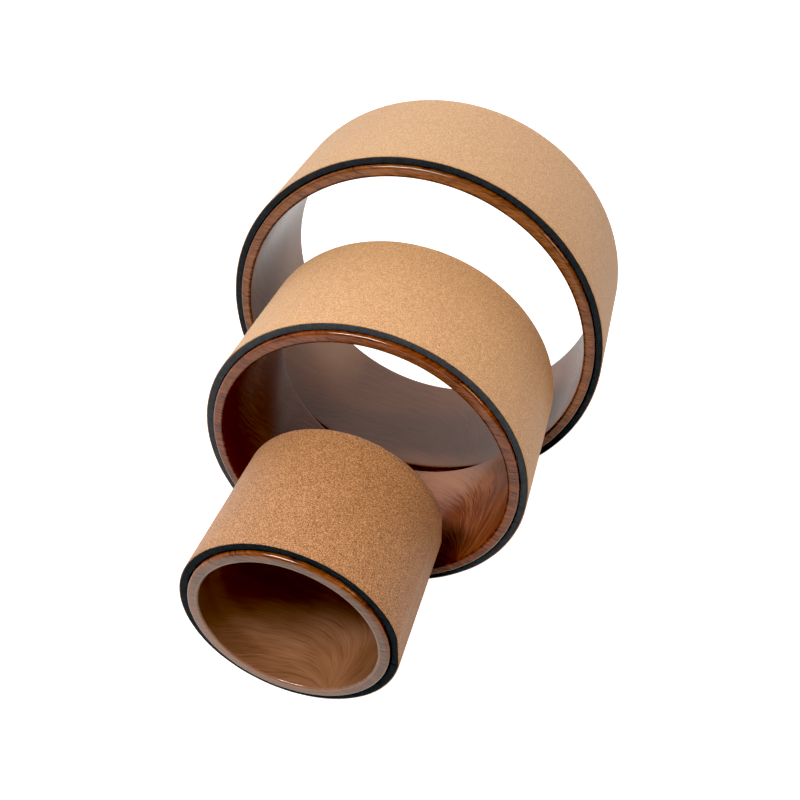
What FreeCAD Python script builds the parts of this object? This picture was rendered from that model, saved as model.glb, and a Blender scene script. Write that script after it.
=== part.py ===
import FreeCAD, Part
import math
import os

# Set of yoga wheels standing in a row on their treads: large at the back,
# medium in the middle, small in front.  Millimetres, +Z up, the wheels' axes
# along Y.  The origin is on the floor, under the middle of the set's box.

# ---- driving dimensions -------------------------------------------------
# outside diameter over the cork, place of the wheel's centre across and along
# the row, thickness of the foam belt, radial thickness of the moulded core
# ring, and the angle of the belt's butt seam (0 = right, 90 = top, seen from
# the front)
WHEELS = {
    "large":  {"dia": 330.0, "x": 0.0,   "y": 130.35,  "foam": 5.6, "wall": 9.3,  "seam": 255.0},
    "medium": {"dia": 264.0, "x": -2.0,  "y": -2.55,   "foam": 5.6, "wall": 8.85, "seam": 347.5},
    "small":  {"dia": 169.0, "x": -16.7, "y": -130.35, "foam": 6.0, "wall": 9.1,  "seam": 351.0},
}

CORE_WIDTH = 127.0        # moulded core ring, over both lips
LIP_ROUND_OUT = 2.6       # rounding of the lip towards the belt
LIP_ROUND_IN = 2.0        # rounding of the lip towards the bore

TAPE_THICK = 0.3          # double-sided tape between core and belt
TAPE_WIDTH = 115.0
TAPE_GAP = 3.0            # the tape's two ends stop this far apart

FOAM_WIDTH = 121.0        # black foam belt, cut to width together with the cork
FOAM_ROUND_OUT = 0.25     # edges of the cut foam strip
FOAM_ROUND_IN = 0.6
FOAM_GAP = 0.3            # butt seam

GLUE_THICK = 0.2          # film of glue under the cork
GLUE_WIDTH = 115.0
GLUE_GAP = 3.0

CORK_THICK = 0.6          # cork skin
CORK_WIDTH = FOAM_WIDTH - 2 * FOAM_ROUND_OUT
CORK_EDGE = 0.15          # broken corner of the cut cork
CORK_GAP = 0.3            # butt seam


# ---- profile and revolve ------------------------------------------------
def corner(a, b, c, rad):
    """Tangent points and middle point of a rounding of radius rad at corner b."""
    u = (a - b)
    v = (c - b)
    u.normalize()
    v.normalize()
    p = b + u * rad
    q = b + v * rad
    centre = b + u * rad + v * rad
    w = b - centre
    w.normalize()
    return p, centre + w * rad, q


def profile(cx, cy, cz, r_in, r_out, width, round_in, round_out):
    """Rectangle of the section, right of the axis, with rounded corners."""
    h = width / 2.0
    pts = [
        (FreeCAD.Vector(cx + r_in, cy - h, cz), round_in),
        (FreeCAD.Vector(cx + r_out, cy - h, cz), round_out),
        (FreeCAD.Vector(cx + r_out, cy + h, cz), round_out),
        (FreeCAD.Vector(cx + r_in, cy + h, cz), round_in),
    ]
    edges = []
    ends = []
    n = len(pts)
    for i in range(n):
        a, b, c = pts[i - 1][0], pts[i][0], pts[(i + 1) % n][0]
        rad = pts[i][1]
        if rad > 0:
            p, m, q = corner(a, b, c, rad)
            ends.append((p, m, q))
        else:
            ends.append((b, None, b))
    for i in range(n):
        p, m, q = ends[i]
        if m is not None:
            edges.append(Part.Arc(p, m, q).toShape())
        nxt = ends[(i + 1) % n][0]
        edges.append(Part.LineSegment(q, nxt).toShape())
    return Part.Face(Part.Wire(edges))


def ring(wheel, r_in, r_out, width, round_in=0.0, round_out=0.0, gap=0.0):
    """A closed ring, or a strip bent round with its two ends gap apart at the seam."""
    cx, cy, cz = wheel["x"], wheel["y"], wheel["dia"] / 2.0
    face = profile(cx, cy, cz, r_in, r_out, width, round_in, round_out)
    base = FreeCAD.Vector(cx, cy, cz)
    axis = FreeCAD.Vector(0, -1, 0)      # turns from right towards up
    if gap <= 0:
        return face.revolve(base, axis, 360.0)
    half = math.degrees(gap / 2.0 / r_out)
    face.rotate(base, axis, wheel["seam"] + half)
    return face.revolve(base, axis, 360.0 - 2.0 * half)


def as_solid(shape):
    s = shape.Solids[0] if shape.Solids else Part.Solid(shape.Shells[0])
    if s.Volume < 0:
        s.reverse()
    return s


# ---- build --------------------------------------------------------------
os.makedirs("parts", exist_ok=True)

for size, w in WHEELS.items():
    r = w["dia"] / 2.0
    r_cork = r - CORK_THICK
    r_glue = r_cork - GLUE_THICK
    r_foam = r_glue - w["foam"]
    r_core = r_foam - TAPE_THICK
    r_bore = r_core - w["wall"]
    pieces = {
        "core_ring": ring(w, r_bore, r_core, CORE_WIDTH, LIP_ROUND_IN, LIP_ROUND_OUT),
        "belt_tape": ring(w, r_core, r_foam, TAPE_WIDTH, gap=TAPE_GAP),
        "foam_belt": ring(w, r_foam, r_glue, FOAM_WIDTH, FOAM_ROUND_IN, FOAM_ROUND_OUT, gap=FOAM_GAP),
        "cork_glue": ring(w, r_glue, r_cork, GLUE_WIDTH, gap=GLUE_GAP),
        "cork_skin": ring(w, r_cork, r, CORK_WIDTH, 0.0, CORK_EDGE, gap=CORK_GAP),
    }
    for name, shape in pieces.items():
        solid = as_solid(shape)
        node = size + "_" + name
        solid.exportStep("parts/" + node + ".step")
        bb = solid.BoundBox
        print("%-20s valid %s  %9.1f mm3  r %.2f  x %.2f..%.2f  y %.2f..%.2f  z %.2f..%.2f"
              % (node, solid.isValid(), solid.Volume, r, bb.XMin, bb.XMax, bb.YMin, bb.YMax, bb.ZMin, bb.ZMax))
    print("%-20s bore %.2f  core outside %.2f" % (size, r_bore, r_core))
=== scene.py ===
import bpy
import math
import numpy as np
from mathutils import Matrix, Vector, noise as mnoise


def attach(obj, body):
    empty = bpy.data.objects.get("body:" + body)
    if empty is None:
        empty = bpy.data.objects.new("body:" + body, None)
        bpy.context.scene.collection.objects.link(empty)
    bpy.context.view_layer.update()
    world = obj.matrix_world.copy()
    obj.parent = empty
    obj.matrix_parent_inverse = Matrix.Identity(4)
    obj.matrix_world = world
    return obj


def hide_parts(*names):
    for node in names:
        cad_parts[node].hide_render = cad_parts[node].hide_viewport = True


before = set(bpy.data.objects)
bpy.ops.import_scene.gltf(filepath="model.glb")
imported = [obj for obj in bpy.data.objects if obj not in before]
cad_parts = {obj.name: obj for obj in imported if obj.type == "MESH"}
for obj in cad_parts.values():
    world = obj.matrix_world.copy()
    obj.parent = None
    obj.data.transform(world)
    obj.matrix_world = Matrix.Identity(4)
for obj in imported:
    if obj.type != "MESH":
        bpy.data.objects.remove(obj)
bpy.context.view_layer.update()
scene = bpy.context.scene

# =========================================================================
# camera: the photograph's viewing angle, worked out from the wheels' edges
# =========================================================================
cam_data = bpy.data.cameras.new("camera")
cam_data.sensor_width = 36.0
cam_data.lens = 40.206
cam_data.clip_start = 0.02
cam_data.clip_end = 60.0
cam = bpy.data.objects.new("camera", cam_data)
scene.collection.objects.link(cam)
right = Vector((0.95937, 0.28212, 0.00445))
up = Vector((-0.18182, 0.60609, 0.77435))
back = Vector((0.21576, -0.74369, 0.63275))
cam.matrix_world = Matrix((
    (right.x, up.x, back.x, 0.16917),
    (right.y, up.y, back.y, -0.54520),
    (right.z, up.z, back.z, 0.61503),
    (0.0, 0.0, 0.0, 1.0),
))
scene.camera = cam

# =========================================================================
# sizes (millimetres), the same as the construction
# =========================================================================
WHEELS = {
    "large":  {"dia": 330.0, "x": 0.0,   "y": 130.35,  "foam": 5.6, "wall": 9.3,  "seam": 255.0, "seg": 420},
    "medium": {"dia": 264.0, "x": -2.0,  "y": -2.55,   "foam": 5.6, "wall": 8.85, "seam": 347.5, "seg": 360},
    "small":  {"dia": 169.0, "x": -16.7, "y": -130.35, "foam": 6.0, "wall": 9.1,  "seam": 351.0, "seg": 300},
}
for w in WHEELS.values():
    w["R"] = w["dia"] / 2.0
    w["r_foam"] = w["R"] - 0.8 - w["foam"]
    w["r_core"] = w["r_foam"] - 0.3
    w["r_bore"] = w["r_core"] - w["wall"]
CORE_HALF = 63.5
FOAM_HALF = 60.5
CORK_HALF = 60.25
LIP_IN, LIP_OUT = 2.0, 2.6          # roundings of the core's lips


def fbm(x, y, z, octaves=3):
    """Smooth seeded noise in about -1..1 for arrays of points."""
    out = np.empty(x.shape)
    fx, fy, fz = x.ravel(), y.ravel(), z.ravel()
    res = out.ravel()
    for i in range(fx.size):
        res[i] = mnoise.fractal((fx[i], fy[i], fz[i]), 0.6, 2.1, octaves, noise_basis="PERLIN_ORIGINAL")
    return res.reshape(x.shape)


def arc(cr, cy, rad, a0, a1, n):
    """Points of a rounding in the section, angles in degrees, 0 along +radius, 90 along +y."""
    t = np.radians(np.linspace(a0, a1, n + 1))
    return [(cr + rad * math.cos(v), cy + rad * math.sin(v)) for v in t]


def build(name, wheel, prof, theta, shape=None, closed=True, sharp=40.0):
    """Turns a closed section (radius, y) about the wheel's axis.  With closed False the
    strip's two ends are capped.  shape(th, r, y) gives the final radius and y."""
    prof = np.asarray(prof, float)
    n = len(prof)
    m = len(theta)
    th = np.repeat(theta[:, None], n, 1)
    r = np.repeat(prof[None, :, 0], m, 0)
    y = np.repeat(prof[None, :, 1], m, 0)
    if shape is not None:
        r, y = shape(th, r, y)
    cx, cy, cz = wheel["x"], wheel["y"], wheel["dia"] / 2.0
    co = np.stack([cx + r * np.cos(th), cy + y, cz + r * np.sin(th)], -1) / 1000.0
    verts = co.reshape(-1, 3)
    rows = m if closed else m - 1
    i = np.arange(rows)[:, None]
    j = np.arange(n)[None, :]
    i2, j2 = (i + 1) % m, (j + 1) % n
    a, b, c, d = i * n + j, i2 * n + j, i2 * n + j2, i * n + j2
    quads = np.stack([a, b, c, d], -1).reshape(-1, 4).tolist()
    if not closed:
        quads.append(list(range(n)))
        quads.append([(m - 1) * n + k for k in range(n)][::-1])
    me = bpy.data.meshes.new(name)
    me.from_pydata(verts.tolist(), [], quads)
    me.validate()
    # faces turned outwards
    area = 0.0
    for k in range(n):
        q = (k + 1) % n
        area += prof[k, 0] * prof[q, 1] - prof[q, 0] * prof[k, 1]
    if area > 0:
        me.flip_normals()
    me.polygons.foreach_set("use_smooth", [True] * len(me.polygons))
    me.set_sharp_from_angle(angle=math.radians(sharp))
    me.update()
    ob = bpy.data.objects.new(name, me)
    scene.collection.objects.link(ob)
    return ob, th, r, y


def set_attr(ob, name, kind, values):
    at = ob.data.attributes.new(name, kind, "POINT")
    key = "value" if kind == "FLOAT" else "vector"
    at.data.foreach_set(key, np.ascontiguousarray(values, dtype=np.float32).ravel())


# =========================================================================
# material helpers
# =========================================================================
class Tree:
    def __init__(self, name):
        self.mat = bpy.data.materials.new(name)
        self.mat.use_nodes = True
        self.t = self.mat.node_tree
        self.t.nodes.clear()
        self.out = self.t.nodes.new("ShaderNodeOutputMaterial")
        self.bsdf = self.t.nodes.new("ShaderNodeBsdfPrincipled")
        self.t.links.new(self.bsdf.outputs["BSDF"], self.out.inputs["Surface"])

    def put(self, sock, val):
        if isinstance(val, bpy.types.NodeSocket):
            self.t.links.new(val, sock)
        elif isinstance(val, (tuple, list)) and sock.type == "RGBA" and len(val) == 3:
            sock.default_value = (*val, 1.0)
        else:
            sock.default_value = val

    def add(self, kind, **props):
        n = self.t.nodes.new(kind)
        for k, v in props.items():
            setattr(n, k, v)
        return n

    def math(self, op, a, b=0.0, c=None, clamp=False):
        n = self.add("ShaderNodeMath", operation=op, use_clamp=clamp)
        self.put(n.inputs[0], a)
        self.put(n.inputs[1], b)
        if c is not None:
            self.put(n.inputs[2], c)
        return n.outputs[0]

    def vmul(self, a, b):
        n = self.add("ShaderNodeVectorMath", operation="MULTIPLY")
        self.put(n.inputs[0], a)
        self.put(n.inputs[1], b)
        return n.outputs[0]

    def vadd(self, a, b):
        n = self.add("ShaderNodeVectorMath", operation="ADD")
        self.put(n.inputs[0], a)
        self.put(n.inputs[1], b)
        return n.outputs[0]

    def vop(self, op, a, b):
        n = self.add("ShaderNodeVectorMath", operation=op)
        self.put(n.inputs[0], a)
        self.put(n.inputs[1], b)
        return n.outputs["Value"] if op == "DOT_PRODUCT" else n.outputs["Vector"]

    def place(self):
        """Place on the piece, in millimetres; it goes with the piece when it moves."""
        c = self.add("ShaderNodeTexCoord")
        return self.vmul(c.outputs["Object"], (1000.0, 1000.0, 1000.0))

    def noise(self, vec, scale, detail=2.0, rough=0.5, dist=0.0):
        n = self.add("ShaderNodeTexNoise", noise_dimensions="3D")
        self.put(n.inputs["Vector"], vec)
        n.inputs["Scale"].default_value = scale
        n.inputs["Detail"].default_value = detail
        n.inputs["Roughness"].default_value = rough
        n.inputs["Distortion"].default_value = dist
        return n.outputs[0]

    def lines(self, vec, w, detail=2.0, rough=0.5):
        """Noise that runs on along vec slowly and changes with w."""
        n = self.add("ShaderNodeTexNoise", noise_dimensions="4D")
        self.put(n.inputs["Vector"], vec)
        self.put(n.inputs["W"], w)
        n.inputs["Scale"].default_value = 1.0
        n.inputs["Detail"].default_value = detail
        n.inputs["Roughness"].default_value = rough
        return n.outputs[0]

    def cells(self, vec, scale, feature="F1", rand=1.0):
        n = self.add("ShaderNodeTexVoronoi", voronoi_dimensions="3D", feature=feature)
        self.put(n.inputs["Vector"], vec)
        n.inputs["Scale"].default_value = scale
        n.inputs["Randomness"].default_value = rand
        return n

    def split(self, col):
        n = self.add("ShaderNodeSeparateColor")
        self.put(n.inputs[0], col)
        return n.outputs[0], n.outputs[1], n.outputs[2]

    def ramp(self, fac, stops, interp="LINEAR"):
        n = self.add("ShaderNodeValToRGB")
        n.color_ramp.interpolation = interp
        el = n.color_ramp.elements
        while len(el) > 1:
            el.remove(el[-1])
        for k, (pos, col) in enumerate(stops):
            e = el[0] if k == 0 else el.new(pos)
            e.position = pos
            e.color = (*col, 1.0) if len(col) == 3 else col
        self.put(n.inputs[0], fac)
        return n.outputs[0]

    def span(self, val, a, b, lo=0.0, hi=1.0):
        n = self.add("ShaderNodeMapRange", interpolation_type="SMOOTHSTEP")
        self.put(n.inputs[0], val)
        n.inputs[1].default_value = a
        n.inputs[2].default_value = b
        n.inputs[3].default_value = lo
        n.inputs[4].default_value = hi
        return n.outputs[0]

    def mix(self, fac, a, b, blend="MIX"):
        n = self.add("ShaderNodeMix", data_type="RGBA", blend_type=blend)
        self.put(n.inputs[0], fac)
        self.put(n.inputs[6], a)
        self.put(n.inputs[7], b)
        return n.outputs[2]

    def attr(self, name):
        return self.add("ShaderNodeAttribute", attribute_name=name)

    def bump(self, height, strength, dist, normal=None):
        n = self.add("ShaderNodeBump")
        self.put(n.inputs["Height"], height)
        n.inputs["Strength"].default_value = strength
        n.inputs["Distance"].default_value = dist
        if normal is not None:
            self.put(n.inputs["Normal"], normal)
        return n.outputs[0]


def lin(r, g, b):
    """Screen colour 0..255 to scene-linear."""
    f = lambda v: v / 12.92 if v <= 0.04045 else ((v + 0.055) / 1.055) ** 2.4
    return (f(r / 255.0), f(g / 255.0), f(b / 255.0))


# ---- cork: fine pressed granules with dark bark specks and pale ones ------
def cork_material(name, base, dark, light, grain, contrast, specks):
    t = Tree(name)
    p = t.place()
    v1 = t.cells(p, 1.45 / grain)
    r1, g1, b1 = t.split(v1.outputs["Color"])
    v2 = t.cells(p, 0.80 / grain)
    r2, g2, b2 = t.split(v2.outputs["Color"])
    fine = t.noise(p, 2.3 / grain, 2.0, 0.6)
    mott = t.noise(p, 0.11, 3.0, 0.55)
    wide = t.noise(p, 0.016, 2.0, 0.5)
    val = t.math("MULTIPLY_ADD", r1, 0.52, -0.26)
    val = t.math("ADD", val, t.math("MULTIPLY_ADD", r2, 0.16, -0.08))
    val = t.math("ADD", val, t.math("MULTIPLY_ADD", fine, 0.50, -0.25))
    val = t.math("MULTIPLY", val, contrast)
    val = t.math("ADD", val, t.math("MULTIPLY_ADD", mott, 0.06, -0.03))
    val = t.math("ADD", val, t.math("MULTIPLY_ADD", wide, 0.09, -0.045))
    val = t.math("ADD", val, 0.5, clamp=True)
    col = t.ramp(val, [(0.08, dark), (0.5, base), (0.92, light)])
    # dark bark specks and pale granules
    v3 = t.cells(p, 0.85 / grain)
    r3, g3, b3 = t.split(v3.outputs["Color"])
    near = t.span(v3.outputs["Distance"], 0.52, 0.24)
    dk = t.math("MULTIPLY", near, t.span(r3, 0.90, 0.97))
    lt = t.math("MULTIPLY", near, t.span(g3, 0.90, 0.97))
    deep = tuple(c * 0.42 for c in dark)
    pale = tuple(min(1.0, c * 1.25) for c in light)
    col = t.mix(t.math("MULTIPLY", dk, specks), col, deep)
    col = t.mix(t.math("MULTIPLY", lt, specks * 0.75), col, pale)
    t.put(t.bsdf.inputs["Base Color"], col)
    rough = t.math("MULTIPLY_ADD", fine, 0.16, 0.48)
    t.put(t.bsdf.inputs["Roughness"], rough)
    t.bsdf.inputs["Specular IOR Level"].default_value = 0.50
    t.bsdf.inputs["Sheen Weight"].default_value = 0.12
    t.bsdf.inputs["Sheen Roughness"].default_value = 0.45
    h = t.math("ADD", t.math("MULTIPLY", v1.outputs["Distance"], -0.5), t.math("MULTIPLY", fine, 0.8))
    t.put(t.bsdf.inputs["Normal"], t.bump(h, 0.35, 0.00022))
    return t.mat


# ---- foam: matte black rubbery foam with fine closed cells ----------------
def foam_material(name, tone, tint):
    t = Tree(name)
    p = t.place()
    v = t.cells(p, 2.4)
    n1 = t.noise(p, 0.25, 3.0, 0.6)
    n2 = t.noise(p, 3.2, 2.0, 0.6)
    val = t.math("ADD", t.math("MULTIPLY", v.outputs["Distance"], 0.5), t.math("MULTIPLY", n1, 0.7))
    lo = tuple(c * tone * 0.62 for c in tint)
    hi = tuple(c * tone * 1.35 for c in tint)
    col = t.ramp(val, [(0.30, lo), (0.85, hi)])
    t.put(t.bsdf.inputs["Base Color"], col)
    t.put(t.bsdf.inputs["Roughness"], t.math("MULTIPLY_ADD", n2, 0.20, 0.62))
    t.bsdf.inputs["Specular IOR Level"].default_value = 0.11
    h = t.math("ADD", v.outputs["Distance"], t.math("MULTIPLY", n2, 0.6))
    t.put(t.bsdf.inputs["Normal"], t.bump(h, 0.30, 0.00022))
    return t.mat


# ---- core: glossy plastic with a printed wood grain, and painted light and shade in the bores ---
def grain_lines(t, p, wheel, deg, out, span_, tight):
    """A number that is constant along each line of the printed grain, the distance from the
    grain's foot and the depth from the front.  The lines spring from a foot at the front rim
    in a fan, and bend over to the left the further they run."""
    a = math.radians(deg)
    r = wheel["r_bore"]
    foot = (wheel["x"] + r * math.cos(a), wheel["y"] - CORE_HALF - out, wheel["R"] + r * math.sin(a))
    rel = t.vop("SUBTRACT", p, foot)
    along = t.vop("DOT_PRODUCT", rel, (math.sin(a), 0.0, -math.cos(a)))
    deep = t.vop("DOT_PRODUCT", rel, (0.0, 1.0, 0.0))
    d2 = t.vop("DOT_PRODUCT", rel, rel)
    g = t.math("MULTIPLY", d2, math.pi / 2 / span_ ** 2)
    g = t.math("DIVIDE", g, t.math("MULTIPLY_ADD", g, 0.22, 1.0))
    w = t.math("ADD", t.math("ARCTAN2", deep, along), g)
    return t.math("MULTIPLY", w, tight), t.math("SQRT", d2), deep, along


def wood_material(name, wheel, grain, walls, lips, inner, outer, contrast, fade, strokes, smoke, painted_light_back, lean, gloss, ior, edge, pale, painted_deep_shade, lit_and_shaded_patches, painted_reflection):
    t = Tree(name)
    p = t.place()
    film = t.attr("film").outputs["Fac"]           # mm along the skin from the edge of the bore wall
    lipv = t.attr("lipvec").outputs["Vector"]
    bend = t.add("ShaderNodeTexNoise", noise_dimensions="3D")
    t.put(bend.inputs["Vector"], p)
    bend.inputs["Scale"].default_value = 0.035
    bend.inputs["Detail"].default_value = 2.0
    bend.inputs["Roughness"].default_value = 0.5
    off = t.vmul(t.vadd(bend.outputs["Color"], (-0.5, -0.5, -0.5)), (7.0, 7.0, 7.0))
    w, far, deep, along = grain_lines(t, t.vadd(p, off), wheel, *grain)
    slow = t.vmul(p, (0.010, 0.010, 0.010))
    quick = t.vmul(p, (0.020, 0.020, 0.020))
    n1 = t.lines(slow, t.math("MULTIPLY", w, 0.8), 2.0, 0.5)
    n2 = t.lines(quick, t.math("MULTIPLY", w, 2.4), 2.0, 0.6)
    n3 = t.lines(quick, t.math("MULTIPLY_ADD", w, 1.5, 40.0), 1.0, 0.5)
    n4 = t.lines(t.vmul(p, (0.05, 0.05, 0.05)), t.math("MULTIPLY_ADD", w, 5.5, 80.0), 1.0, 0.5)
    n5 = t.lines(quick, t.math("MULTIPLY_ADD", w, 3.1, 120.0), 1.0, 0.5)
    # thin dark strokes between broader, paler strands
    hair = t.span(t.math("ABSOLUTE", t.math("SUBTRACT", n3, 0.5)), 0.050, 0.008)
    hair = t.math("ADD", hair, t.math("MULTIPLY", t.span(t.math("ABSOLUTE", t.math("SUBTRACT", n5, 0.5)), 0.060, 0.010), 0.8))
    cloud = t.noise(p, 0.02, 2.0, 0.5)
    val = t.math("MULTIPLY_ADD", n1, 0.5, -0.25)
    val = t.math("ADD", val, t.math("MULTIPLY_ADD", n2, 0.55, -0.275))
    val = t.math("ADD", val, t.math("MULTIPLY_ADD", n4, 0.65, -0.325))
    val = t.math("ADD", val, t.math("MULTIPLY_ADD", hair, -0.24, 0.07))
    val = t.math("MULTIPLY", val, t.span(far, fade[0], fade[1], contrast, contrast * fade[2]))
    val = t.math("ADD", val, t.math("MULTIPLY_ADD", cloud, 0.24, -0.12))
    # broad darker and lighter strands, and painted light: the bore wall is made lighter towards the back, where light
    # falls into the medium wheel's bore
    n0 = t.lines(slow, t.math("MULTIPLY_ADD", w, 0.13, smoke[1]), 1.0, 0.5)
    val = t.math("ADD", val, t.math("MULTIPLY_ADD", n0, smoke[0], -0.5 * smoke[0]))
    painted_light_back_mask = t.math("MULTIPLY", t.span(deep, 60.0, 125.0, 0.0, painted_light_back), t.span(along, 95.0, 40.0, 0.25, 1.0))
    val = t.math("ADD", val, t.math("SUBTRACT", painted_light_back_mask, 0.144 if painted_light_back > 0 else 0.0))
    val = t.math("ADD", val, t.span(w, 0.5 * grain[3], 2.1 * grain[3], -lean, lean))
    # painted shade: the bore wall is darkened deep inside, where it lies in shadow
    val = t.math("SUBTRACT", val, t.span(far, 72.0, 128.0, 0.0, painted_deep_shade))
    # painted light and shade: broad patches of the bore wall made lighter where light reaches in and darker where it
    # lies in shade
    for amount, d0, d1, a0, a1 in lit_and_shaded_patches:
        val = t.math("ADD", val, t.math("MULTIPLY", t.span(deep, d0, d1, 0.0, amount), t.span(along, a0, a1)))
    val = t.math("ADD", val, 0.5, clamp=True)
    wall = t.ramp(val, [(0.06, walls[0]), (0.48, walls[1]), (0.92, walls[2])])
    # painted reflection: the bore wall is mixed towards a pale, greyer tone further back, for the bright surroundings
    # it mirrors
    wall = t.mix(t.math("MULTIPLY", t.span(deep, 42.0, 115.0, 0.0, painted_reflection[0]), t.span(along, 115.0, 142.0)), wall, painted_reflection[1])
    # strokes of the print on the lip, all in one direction
    lipv = t.vadd(lipv, t.vmul(t.vadd(bend.outputs["Color"], (-0.5, -0.5, -0.5)), (2.0, 9.0, 2.0)))
    l1 = t.noise(lipv, 0.09, 2.0, 0.5)
    l2 = t.noise(lipv, 0.42, 2.0, 0.6)
    l3 = t.noise(lipv, 1.10, 2.0, 0.6)
    lv = t.math("ADD", t.math("MULTIPLY_ADD", l1, 0.5, -0.25), t.math("MULTIPLY_ADD", l2, 1.0, -0.50))
    lv = t.math("ADD", lv, t.math("MULTIPLY_ADD", l3, 1.6, -0.80))
    lv = t.math("ADD", t.math("MULTIPLY", lv, strokes), 0.5, clamp=True)
    lipc = t.ramp(lv, [(0.10, lips[0]), (0.90, lips[1])])
    # painted light: on the small wheel the lip is made paler towards the bottom left, where it catches more light
    low = t.vop("DOT_PRODUCT", t.vop("SUBTRACT", p, (wheel["x"], 0.0, wheel["R"])), (-0.45 / wheel["R"], 0.0, -0.89 / wheel["R"]))
    lipc = t.mix(t.span(low, -0.1, 0.85, 0.0, pale[0]), lipc, pale[1])
    # the outer rounding is printed stronger
    start = math.pi / 2 * LIP_IN + wheel["wall"] - LIP_IN - LIP_OUT
    rim = t.ramp(t.math("MULTIPLY_ADD", t.math("SUBTRACT", lv, 0.5), 0.75, 0.5, clamp=True), [(0.10, outer[0]), (0.90, outer[1])])
    lipc = t.mix(t.span(film, start - 0.5, start + 1.0), lipc, rim)
    # the bend into the bore: a darker printed band on the large and medium wheels; on the small wheel a pale line, a
    # painted highlight along the inner edge
    band = t.math("MULTIPLY", t.span(film, inner[3] - 1.1, inner[3] - 0.2), t.span(film, inner[3] + inner[4] + 0.9, inner[3] + inner[4]))
    band = t.math("MULTIPLY", band, t.span(l2, 0.62, 0.42, 0.55, 1.0))
    lipc = t.mix(t.math("MULTIPLY", band, inner[0]), lipc, t.mix(lv, inner[1], inner[2]))
    col = t.mix(t.span(film, 0.1, 1.1), wall, lipc)
    warm = t.math("MULTIPLY", t.span(film, -2.2, -0.6), t.span(film, 1.9, 1.1))
    col = t.mix(t.math("MULTIPLY", warm, edge[0]), col, edge[1])
    t.put(t.bsdf.inputs["Base Color"], col)
    t.put(t.bsdf.inputs["Roughness"], t.math("MULTIPLY_ADD", n1, 0.16, 0.34))
    t.bsdf.inputs["Specular IOR Level"].default_value = 0.05
    t.put(t.bsdf.inputs["Coat Weight"], t.span(film, -0.5, 1.0, gloss, 1.0))
    t.put(t.bsdf.inputs["Coat Roughness"], t.span(film, -0.5, 1.0, 0.22, 0.15))
    t.bsdf.inputs["Coat IOR"].default_value = ior
    h = t.math("ADD", t.math("MULTIPLY", val, 0.5), t.math("MULTIPLY", t.noise(p, 0.05, 2.0, 0.5), 0.7))
    t.put(t.bsdf.inputs["Normal"], t.bump(h, 0.05, 0.0002))
    return t.mat


# ---- tape and glue: hardly seen, at the butt seams only -------------------
def film_material(name, a, b, rough):
    t = Tree(name)
    p = t.place()
    n1 = t.noise(p, 0.30, 4.0, 0.6)
    t.put(t.bsdf.inputs["Base Color"], t.ramp(n1, [(0.3, a), (0.7, b)]))
    t.put(t.bsdf.inputs["Roughness"], t.math("MULTIPLY_ADD", n1, 0.2, rough))
    t.put(t.bsdf.inputs["Normal"], t.bump(t.noise(p, 1.2, 2.0), 0.15, 0.0002))
    return t.mat


CORK = {
    "large": cork_material("cork_large", lin(186, 142, 97), lin(140, 97, 58), lin(214, 175, 131), 0.68, 1.04, 0.84),
    "medium": cork_material("cork_medium", lin(193, 146, 101), lin(144, 99, 60), lin(221, 178, 130), 0.64, 1.24, 0.95),
    "small": cork_material("cork_small", lin(164, 111, 68), lin(107, 64, 32), lin(203, 152, 104), 0.62, 1.84, 1.00),
}
FOAM = {
    "large": foam_material("foam_large", 0.0305, (1.04, 0.97, 1.12)),
    "medium": foam_material("foam_medium", 0.060, (1.00, 0.96, 1.06)),
    "small": foam_material("foam_small", 0.0200, (1.12, 0.95, 1.05)),
}
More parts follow.
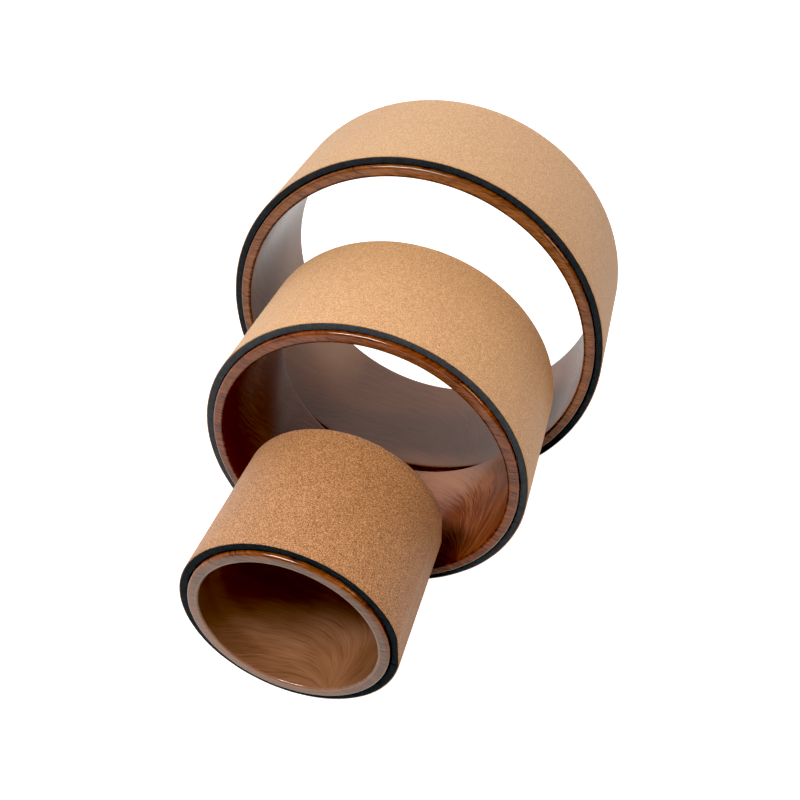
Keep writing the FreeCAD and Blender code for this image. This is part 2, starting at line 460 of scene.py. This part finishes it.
# printed grain: angle of the foot on the rim, mm outside the rim, span of the arches in mm, lines per radian;
# colours of walls and lips; the bend into the bore (on the small wheel a painted highlight line); the outer rounding
WOOD = {
    "large": wood_material("wood_large", WHEELS["large"], (292.0, 8.0, 203.0, 18.0),
                           (lin(93, 51, 29), lin(118, 68, 40), lin(141, 88, 55)), (lin(69, 34, 15), lin(161, 99, 55)),
                           (0.85, lin(40, 14, 6), lin(84, 44, 26), 2.2, 0.7), (lin(54, 25, 10), lin(144, 86, 45)),
                           0.50, (120.0, 240.0, 0.45), 0.8, (0.15, 0.0), 0.0, 0.0, 0.92, 1.45, (0.75, lin(120, 66, 32)), (0.0, lin(150, 92, 51)), 0.0,
                           ((-0.20, 60.0, 30.0, 95.0, 132.0), (0.40, 36.0, 16.0, 80.0, 50.0), (-0.25, -1.0, 0.0, -40.0, -100.0)),
                           (0.90, lin(178, 130, 98))),
    "medium": wood_material("wood_medium", WHEELS["medium"], (315.0, 4.0, 230.0, 18.0),
                            (lin(80, 31, 13), lin(115, 56, 26), lin(190, 124, 85)), (lin(61, 26, 11), lin(154, 85, 45)),
                            (0.90, lin(48, 14, 5), lin(100, 44, 22), 1.6, 1.0), (lin(50, 20, 8), lin(150, 79, 38)),
                            0.86, (55.0, 115.0, 0.30), 0.9, (0.35, 0.0), 0.43, 0.12, 0.75, 1.5, (0.15, lin(130, 58, 24)), (0.0, lin(143, 79, 42)), 0.0,
                            ((0.13, 80.0, 55.0, 50.0, 85.0), (-0.16, 72.0, 95.0, 50.0, 75.0)), (0.0, lin(115, 56, 26))),
    "small": wood_material("wood_small", WHEELS["small"], (298.0, 3.0, 104.0, 18.0),
                           (lin(80, 50, 33), lin(134, 90, 63), lin(169, 122, 93)), (lin(75, 48, 34), lin(133, 94, 71)),
                           (0.25, lin(150, 122, 100), lin(200, 176, 152), 2.7, 0.2), (lin(44, 19, 7), lin(156, 86, 39)),
                           0.58, (62.0, 118.0, 0.20), 0.85, (0.40, 0.0), 0.0, 0.0, 1.0, 1.5, (0.0, lin(130, 88, 60)), (0.55, lin(163, 114, 86)), 0.17,
                           ((0.26, 34.0, 58.0, 52.0, 24.0), (-0.26, 78.0, 100.0, 52.0, 24.0), (-0.22, 46.0, 26.0, 4.0, -22.0),
                            (0.15, 19.0, 28.0, 24.0, 40.0), (-0.15, 34.0, 44.0, 24.0, 40.0)),
                           (0.0, lin(134, 90, 63))),
}
TAPE = film_material("tape_film", lin(205, 200, 188), lin(225, 222, 212), 0.45)
GLUE = film_material("glue_film", lin(176, 150, 96), lin(196, 172, 118), 0.30)


# =========================================================================
# pieces
# =========================================================================
def core_profile(r_in, r_out):
    """Section of the core from the middle of the bore wall, round the front lip, back along
    the outside and round the back lip."""
    h, ri, ro = CORE_HALF, LIP_IN, LIP_OUT
    drop = 0.12                                   # the crown of the lip is very slightly domed
    front = [(r_in, y) for y in np.linspace(0.0, -(h - ri), 15)[:-1]]
    front += arc(r_in + ri, -(h - ri), ri, 180, 264, 8)
    c0, c1 = r_in + ri, r_out - ro
    for k in np.linspace(0.12, 0.88, 5):
        front.append((c0 + (c1 - c0) * k, -h + drop * (2 * k - 1) ** 2 * 0.6))
    front += arc(r_out - ro, -(h - ro), ro, -84, 0, 11)
    front += [(r_out, y) for y in np.linspace(-(h - ro), 0.0, 7)[1:]]
    back = [(r, -y) for r, y in front[1:-1]][::-1]
    return front + back


def dist_along(prof):
    """Distance along the skin from the middle of the bore wall, either way round."""
    prof = np.asarray(prof)
    step = np.hypot(*(np.roll(prof, -1, 0) - prof).T)
    fwd = np.concatenate([[0.0], np.cumsum(step)[:-1]])
    return np.minimum(fwd, step.sum() - fwd)


def wrap(a):
    return (a + math.pi) % (2 * math.pi) - math.pi


for size, w in WHEELS.items():
    body = size + "_wheel"
    R, r_foam, r_core, r_bore = w["R"], w["r_foam"], w["r_core"], w["r_bore"]
    r_cork, r_glue = R - 0.6, R - 0.8
    seam = math.radians(w["seam"])
    seed = {"large": 3.1, "medium": 7.7, "small": 1.3}[size]

    # ---- core ring ------------------------------------------------------
    prof = core_profile(r_bore, r_core)
    film = dist_along(prof) - (CORE_HALF - LIP_IN)
    theta = np.linspace(0.0, 2 * math.pi, w["seg"], endpoint=False)
    core, th, r, y = build(size + "_core", w, prof, theta, sharp=50.0)
    film = np.repeat(film[None, :], len(theta), 0)
    set_attr(core, "film", "FLOAT", film)
    lie = math.radians(-7.0)                      # the print lies in one direction over the whole face
    px, pz = r * np.cos(th), r * np.sin(th)
    run_u = px * math.cos(lie) + pz * math.sin(lie)
    run_v = pz * math.cos(lie) - px * math.sin(lie)
    set_attr(core, "lipvec", "FLOAT_VECTOR", np.stack([run_u * 0.12, run_v, np.sign(y) * 20.0], -1))
    core.data.materials.append(WOOD[size])
    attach(core, body)
    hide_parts(size + "_core_ring")

    # ---- belt: how far the outside of the belt stands from a true circle --
    def lift(th, size=size, R=R, seam=seam):
        """Change of the belt's outside radius along its run, mm."""
        if size != "small":
            d = np.abs(wrap(th - seam)) * R
            return 0.10 * np.exp(-(d / 5.0) ** 2) - 0.10
        a, b = math.radians(11.9), math.radians(-8.8)
        mid, half = (a + b) / 2, (a - b) / 2
        t = wrap(th - mid)
        rc = R + 0.15
        flat = rc * math.cos(half) / np.cos(np.clip(t, -half, half)) - R
        out = np.abs(t) - half
        after = 0.15 * np.exp(-np.clip(out, 0, None) * R / 6.0)
        return np.where(out <= 0, flat, after) - 0.05

    def run(gap, seg, R=R, seam=seam, size=size):
        """Angles along a strip from one end of the butt seam to the other, closer near the ends."""
        half = gap / 2.0 / R
        span_ = 2 * math.pi - 2 * half
        fine = np.array([0.0, 0.25, 0.6, 1.2, 2.2, 3.6]) / R
        body_ = np.linspace(5.0 / R, span_ - 5.0 / R, seg)
        t = np.concatenate([fine, body_, span_ - fine[::-1]])
        return t + seam + half

    # ---- foam belt -------------------------------------------------------
    h, ro, ri = FOAM_HALF, 0.25, 0.6
    pf = [(r_foam, yy) for yy in np.linspace(h - ri, -(h - ri), 9)]
    pf += arc(r_foam + ri, -(h - ri), ri, 180, 270, 3)[1:]
    pf += [(r_foam + ri + (r_glue - ro - r_foam - ri) * k, -h) for k in (0.33, 0.66)]
    pf += arc(r_glue - ro, -(h - ro), ro, -90, 0, 3)
    pf += [(r_glue, yy) for yy in np.linspace(-(h - ro), h - ro, 9)[1:-1]]
    pf += arc(r_glue - ro, h - ro, ro, 0, 90, 3)
    pf += [(r_foam + ri + (r_glue - ro - r_foam - ri) * k, h) for k in (0.66, 0.33)]
    pf += arc(r_foam + ri, h - ri, ri, 90, 180, 3)[:-1]

    def foam_shape(th, r, y, R=R, r_foam=r_foam, r_glue=r_glue, seam=seam, seed=seed):
        k = np.clip((r - r_foam) / (r_glue - r_foam), 0, 1)
        d = np.abs(wrap(th - seam)) * R
        edge = np.clip((np.abs(y) - 50.0) / 10.0, 0, 1)
        cx, sx = np.cos(th) * R, np.sin(th) * R
        wave = fbm(cx / 26.0 + seed, y / 400.0 + np.sign(y), sx / 26.0, 2) * 0.16
        small_ = fbm(cx / 5.0, y / 5.0 + seed, sx / 5.0, 2) * 0.05
        end = 0.55 * np.exp(-(d / 0.55) ** 2)                # the cut ends are slightly rounded
        y2 = y + np.sign(y) * edge * (wave + small_ - 0.12 - end * 0.6)
        r2 = r + lift(th) * k + small_ * k * 0.6 - end * k ** 3 * 0.8
        return r2, y2

    foam, *_ = build(size + "_foam", w, pf, run(0.3, w["seg"]), foam_shape, closed=False, sharp=50.0)
    foam.data.materials.append(FOAM[size])
    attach(foam, body)
    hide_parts(size + "_foam_belt")

    # ---- cork skin -------------------------------------------------------
    h, e = CORK_HALF, 0.15
    pc = [(r_cork, yy) for yy in np.linspace(h, -h, 25)]
    pc += [(R - e, -h), (R - e * 0.3, -h + e * 0.3), (R, -h + e)]
    pc += [(R, yy) for yy in np.linspace(-h + e, h - e, 25)[1:-1]]
    pc += [(R, h - e), (R - e * 0.3, h - e * 0.3), (R - e, h)]

    def cork_shape(th, r, y, R=R, r_cork=r_cork, seed=seed):
        cx, sx = np.cos(th) * R, np.sin(th) * R
        edge = np.clip((np.abs(y) - 52.0) / 6.5, 0, 1)
        wave = fbm(cx / 22.0 + seed, np.sign(y) * 3.0, sx / 22.0, 2) * 0.16
        und = fbm(cx / 18.0, y / 18.0 + seed, sx / 18.0, 2) * 0.03 - 0.03
        return r + lift(th) + und, y + np.sign(y) * edge * (wave - 0.10)

    cork, *_ = build(size + "_cork", w, pc, run(0.3, w["seg"]), cork_shape, closed=False, sharp=35.0)
    cork.data.materials.append(CORK[size])
    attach(cork, body)
    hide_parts(size + "_cork_skin")

    # ---- glue film under the cork, following the belt ---------------------
    pg = [(r_glue, yy) for yy in np.linspace(57.5, -57.5, 9)] + [(r_cork, yy) for yy in np.linspace(-57.5, 57.5, 9)]

    def glue_shape(th, r, y):
        return r + lift(th) - 0.03, y

    glue, *_ = build(size + "_glue", w, pg, run(3.0, w["seg"]), glue_shape, closed=False, sharp=35.0)
    glue.data.materials.append(GLUE)
    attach(glue, body)
    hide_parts(size + "_cork_glue")

    # ---- tape, carried over from the construction --------------------------
    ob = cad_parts[size + "_belt_tape"]
    if not ob.material_slots:
        ob.data.materials.append(TAPE)
    for sl in ob.material_slots:
        sl.material = TAPE


# =========================================================================
# floor and light
# =========================================================================
me = bpy.data.meshes.new("floor")
n = 96
ring_ = [(14.0 * math.cos(2 * math.pi * k / n), 14.0 * math.sin(2 * math.pi * k / n), 0.0) for k in range(n)]
me.from_pydata(ring_, [], [list(range(n))])
floor = bpy.data.objects.new("floor", me)
scene.collection.objects.link(floor)
ft = Tree("floor_white")
fp = ft.place()
ft.put(ft.bsdf.inputs["Base Color"], ft.ramp(ft.noise(fp, 0.004, 2.0), [(0.3, (0.64, 0.64, 0.64)), (0.7, (0.66, 0.66, 0.66))]))
ft.bsdf.inputs["Roughness"].default_value = 0.9
ft.bsdf.inputs["Specular IOR Level"].default_value = 0.1
ft.bsdf.inputs["Emission Color"].default_value = (1.0, 1.0, 1.0, 1.0)
lp = ft.add("ShaderNodeLightPath")
# what the wheels mirror of the floor: painted light, a glow seen only in reflections, with a painted shadow close
# behind the large wheel
distance_from_painted_shadow = ft.add("ShaderNodeVectorMath", operation="DISTANCE")
ft.put(distance_from_painted_shadow.inputs[0], fp)
distance_from_painted_shadow.inputs[1].default_value = (-66.0, 345.0, 0.0)
mirrored_floor_light = ft.math("MULTIPLY", lp.outputs["Is Glossy Ray"], ft.span(distance_from_painted_shadow.outputs["Value"], 45.0, 120.0, 0.0, 0.29))
ft.put(ft.bsdf.inputs["Emission Strength"], ft.math("MULTIPLY_ADD", lp.outputs["Is Camera Ray"], 0.95, mirrored_floor_light))
me.materials.append(ft.mat)

# studio: bright behind the wheels, dim in front and at the sides
world = bpy.data.worlds.new("studio")
world.use_nodes = True
wt = world.node_tree
bg = wt.nodes["Background"]
tc = wt.nodes.new("ShaderNodeTexCoord")
mr = wt.nodes.new("ShaderNodeMapRange")
mr.interpolation_type = "SMOOTHSTEP"
mr.inputs[1].default_value = 0.05
mr.inputs[2].default_value = 0.65
mr.inputs[3].default_value = 0.03
mr.inputs[4].default_value = 0.93
side_ = wt.nodes.new("ShaderNodeVectorMath")
side_.operation = "DOT_PRODUCT"
wt.links.new(tc.outputs["Generated"], side_.inputs[0])
side_.inputs[1].default_value = (-0.16, 0.987, 0.0)
wt.links.new(side_.outputs["Value"], mr.inputs[0])
dt = wt.nodes.new("ShaderNodeVectorMath")
dt.operation = "DOT_PRODUCT"
wt.links.new(tc.outputs["Generated"], dt.inputs[0])
dt.inputs[1].default_value = (-0.05, 0.78, 0.62)
gl = wt.nodes.new("ShaderNodeMapRange")
gl.interpolation_type = "SMOOTHSTEP"
gl.inputs[1].default_value = 0.70
gl.inputs[2].default_value = 0.98
gl.inputs[3].default_value = 0.0
gl.inputs[4].default_value = 0.42
wt.links.new(dt.outputs["Value"], gl.inputs[0])
# a pale wall on the left
dt2 = wt.nodes.new("ShaderNodeVectorMath")
dt2.operation = "DOT_PRODUCT"
wt.links.new(tc.outputs["Generated"], dt2.inputs[0])
dt2.inputs[1].default_value = (-0.97, 0.10, 0.22)
gl2 = wt.nodes.new("ShaderNodeMapRange")
gl2.interpolation_type = "SMOOTHSTEP"
gl2.inputs[1].default_value = 0.66
gl2.inputs[2].default_value = 0.97
gl2.inputs[3].default_value = 0.0
gl2.inputs[4].default_value = 0.85
wt.links.new(dt2.outputs["Value"], gl2.inputs[0])
sm1 = wt.nodes.new("ShaderNodeMath")
sm1.operation = "ADD"
wt.links.new(mr.outputs[0], sm1.inputs[0])
wt.links.new(gl.outputs[0], sm1.inputs[1])
sm = wt.nodes.new("ShaderNodeMath")
sm.operation = "ADD"
wt.links.new(sm1.outputs[0], sm.inputs[0])
wt.links.new(gl2.outputs[0], sm.inputs[1])
lpw = wt.nodes.new("ShaderNodeLightPath")
mxw = wt.nodes.new("ShaderNodeMix")
mxw.data_type = "FLOAT"
wt.links.new(lpw.outputs["Is Camera Ray"], mxw.inputs[0])
wt.links.new(sm.outputs[0], mxw.inputs[2])
mxw.inputs[3].default_value = 1.0
wt.links.new(mxw.outputs[0], bg.inputs[1])
bg.inputs[0].default_value = (1.0, 1.0, 1.0, 1.0)
scene.world = world

# a softbox high in front, a little to the left, a weaker one on the right and a weak one in front
def softbox(name, pos, target, size_x, size_y, power, colour):
    ld = bpy.data.lights.new(name, "AREA")
    ld.shape = "RECTANGLE"
    ld.size, ld.size_y = size_x, size_y
    ld.energy = power
    ld.color = colour
    ob = bpy.data.objects.new(name, ld)
    ob.location = pos
    ob.rotation_mode = "QUATERNION"
    ob.rotation_quaternion = (Vector(target) - Vector(pos)).to_track_quat("-Z", "Y")
    scene.collection.objects.link(ob)


softbox("key", (-0.54, -0.94, 2.02), (-0.02, -0.05, 0.1), 1.25, 0.17, 51.5, (1.0, 0.985, 0.96))
softbox("fill", (1.45, 0.02, 0.95), (0.0, 0.0, 0.15), 0.45, 0.45, 7.0, (1.0, 0.76, 0.55))
softbox("front", (1.05, -0.95, 1.25), (0.0, 0.0, 0.15), 0.45, 0.45, 0.9, (1.0, 0.92, 0.82))

scene.view_settings.view_transform = "Standard"
scene.view_settings.look = "None"
scene.view_settings.use_curve_mapping = True
scene.view_settings.curve_mapping.black_level = (0.0212, 0.0145, 0.0140)
scene.view_settings.curve_mapping.update()
